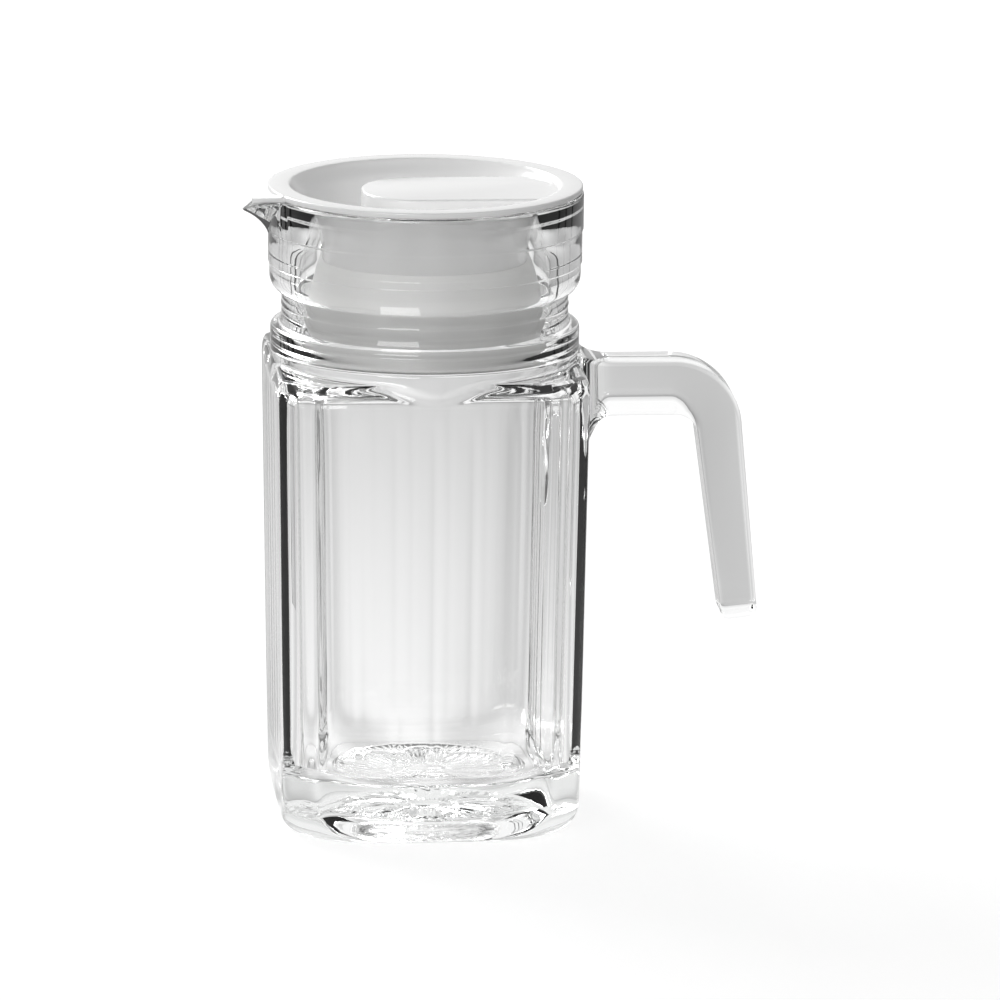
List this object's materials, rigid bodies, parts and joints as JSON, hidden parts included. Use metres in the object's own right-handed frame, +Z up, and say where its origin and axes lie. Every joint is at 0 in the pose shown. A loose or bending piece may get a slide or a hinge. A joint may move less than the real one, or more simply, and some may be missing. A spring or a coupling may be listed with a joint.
{
  "type": "glass pitcher with lid",
  "caption": "Square glass pitcher with cut corners, a round collar, a small beak spout, an open hook handle and a white push-in lid with a finger grip.",
  "frame": {"origin": "centre of the foot, on the surface that the pitcher stands on", "axes": "+Z up along the axis of the neck; the spout points to -X and the handle to +X"},
  "size_m": [0.1383, 0.0846, 0.172],
  "materials": {
    "clear_glass": "clear pressed glass, fire polished",
    "handle_glass": "clear solid glass, fire polished",
    "white_cover": "smooth white, soft gloss",
    "white_plug": "smooth white, satin"
  },
  "bodies": {
    "jug": {"glass_jug": "clear_glass", "handle": "handle_glass"},
    "lid": {"lid_cover": "white_cover", "lid_plug": "white_plug"}
  },
  "joints": [
    {"name": "lid_lift", "type": "slide", "parent": "jug", "child": "lid", "axis": [0, 0, 1], "range_m": [0, 0.06]}
  ]
}
